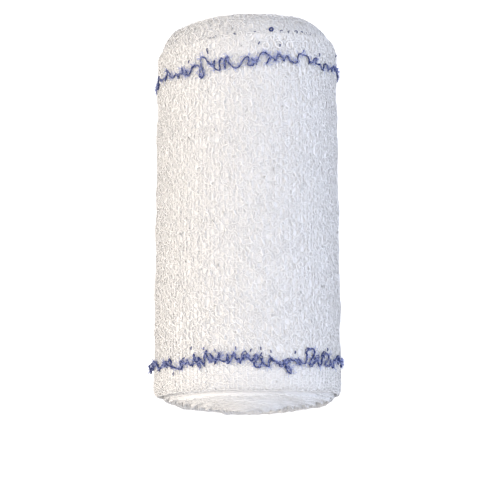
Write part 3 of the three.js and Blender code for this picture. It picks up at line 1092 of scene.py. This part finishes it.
def soft_sky(lights):
    """A sky that turns from a warm left to a cool right, and is darker past the roll's ends. The
    camera sees plain white in its place."""
    world = bpy.data.worlds.new("Studio Sky")
    world.use_nodes = True
    tree = world.node_tree
    way = add_node(tree, "ShaderNodeTexCoord").outputs["Generated"]
    parts = add_node(tree, "ShaderNodeSeparateXYZ", {0: way}).outputs
    across = add_node(tree, "ShaderNodeMapRange", {"Value": parts["X"], "From Min": -1})
    sky = {
        "Value": parts["Y"],
        "From Min": -1,
        "To Min": lights.sky_strength * (1 + lights.far_fall),
        "To Max": lights.sky_strength * (1 - lights.far_fall),
    }
    strength = add_node(tree, "ShaderNodeMapRange", sky).outputs["Result"]
    past_ends, to_sides = (
        calculated(tree, "MULTIPLY_ADD", calculated(tree, "MULTIPLY", part, part), change, 1)
        for part, change in ((parts["Y"], -lights.end_fall), (parts["X"], lights.side_rise))
    )
    for change in (past_ends, past_ends, to_sides):  # twice past the ends, for a steeper fall
        strength = calculated(tree, "MULTIPLY", strength, change)
    tint = add_node(tree, "ShaderNodeMix", data_type="RGBA")
    tints = {"A": (*lights.sky_left, 1), "B": (*lights.sky_right, 1)}
    fill_inputs(tree, tint, {"Factor": across.outputs["Result"], **tints})
    lit = tree.nodes["Background"]
    fill_inputs(tree, lit, {"Color": tint.outputs["Result"], "Strength": strength})
    backdrop = add_node(tree, "ShaderNodeBackground", {"Color": (1, 1, 1, 1)})
    seen = add_node(tree, "ShaderNodeLightPath").outputs["Is Camera Ray"]
    choice = {0: seen, 1: lit.outputs[0], 2: backdrop.outputs[0]}
    shown = add_node(tree, "ShaderNodeMixShader", choice)
    fill_inputs(tree, tree.nodes["World Output"], {"Surface": shown.outputs[0]})
    return world


def white_paper(shade, glow):
    """A pale floor that looks white from above without throwing more light on the roll."""
    paper = bpy.data.materials.new("White Paper")
    paper.use_nodes = True
    tree = paper.node_tree
    seen = add_node(tree, "ShaderNodeLightPath").outputs["Is Camera Ray"]
    surface = {
        "Base Color": (*shade, 1),
        "Roughness": 0.9,
        "Emission Color": (1, 1, 1, 1),
        "Emission Strength": calculated(tree, "MULTIPLY", seen, glow),
    }
    fill_inputs(tree, tree.nodes["Principled BSDF"], surface)
    return paper


class BANDAGE_OT_set_stage(bpy.types.Operator):
    """Set the floor, the lamps and the camera"""

    bl_idname = "bandage.set_stage"
    bl_label = "Set Stage"

    def execute(self, context):
        scene = context.scene
        lights = scene.studio_lights
        scene.world = soft_sky(lights)
        left_lamp(lights.lamp)

        bpy.ops.object.select_all(action="DESELECT")
        bpy.ops.mesh.primitive_plane_add(size=6, location=(0, 0, 0))
        floor = bpy.context.active_object
        floor.name = "floor"
        floor.data.materials.append(white_paper(scene.bandage_colours.floor, lights.glow))

        camera = bpy.data.cameras.new("Camera")
        camera.lens = LENS
        camera.sensor_width = 36
        camera.clip_start = 0.05
        camera.clip_end = 20
        holder = bpy.data.objects.new("Camera", camera)
        scene.collection.objects.link(holder)
        middle = Vector((SEAT[0], SEAT[1], ROLL_RADIUS))
        back = Vector((0, -math.cos(CAMERA_ELEVATION), math.sin(CAMERA_ELEVATION)))
        eye = (middle + CAMERA_DISTANCE * back) * MM
        aim = (Vector((SEAT[0], SEAT[1], 0)) + Vector(AIM)) * MM
        turned = (aim - eye).to_track_quat("-Z", "Y").to_matrix().to_4x4()
        rolled = turned @ Matrix.Rotation(CAMERA_ROLL, 4, "Z")
        holder.matrix_world = Matrix.Translation(eye) @ rolled
        scene.camera = holder
        scene.view_settings.view_transform = "Standard"
        return {"FINISHED"}


class BANDAGE_PT_panel(bpy.types.Panel):
    """The bandage's pieces and sizes"""

    bl_idname = "BANDAGE_PT_panel"
    bl_label = "Crepe Bandage Roll"
    bl_space_type = "VIEW_3D"
    bl_region_type = "UI"
    bl_category = "Bandage"

    def draw(self, context):
        layout = self.layout
        for step in STEPS:
            layout.operator(step.bl_idname)
        for group in (
            context.scene.bandage_yarns,
            context.scene.bandage_colours,
            context.scene.studio_lights,
        ):
            box = layout.box()
            for key in type(group).__annotations__:
                box.prop(group, key)


STEPS = (
    BANDAGE_OT_wind_cloth,
    BANDAGE_OT_weave_warps,
    BANDAGE_OT_weave_wefts,
    BANDAGE_OT_dress_second_turn,
    BANDAGE_OT_loop_selvedges,
    BANDAGE_OT_run_marker_threads,
    BANDAGE_OT_fluff_fibres,
    BANDAGE_OT_declare_cloth,
    BANDAGE_OT_set_stage,
)
GROUPS = dict(
    bandage_yarns=BandageYarns, bandage_colours=BandageColours, studio_lights=StudioLights
)


def register():
    for name, group in GROUPS.items():
        bpy.utils.register_class(group)
        setattr(bpy.types.Scene, name, bpy.props.PointerProperty(type=group))
    for step in STEPS:
        bpy.utils.register_class(step)
    bpy.utils.register_class(BANDAGE_PT_panel)


def unregister():
    bpy.utils.unregister_class(BANDAGE_PT_panel)
    for step in reversed(STEPS):
        bpy.utils.unregister_class(step)
    for name, group in GROUPS.items():
        delattr(bpy.types.Scene, name)
        bpy.utils.unregister_class(group)


def main():
    register()
    for step in STEPS:
        family, action = step.bl_idname.split(".")
        getattr(getattr(bpy.ops, family), action)()
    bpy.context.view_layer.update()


if __name__ == "__main__":
    main()
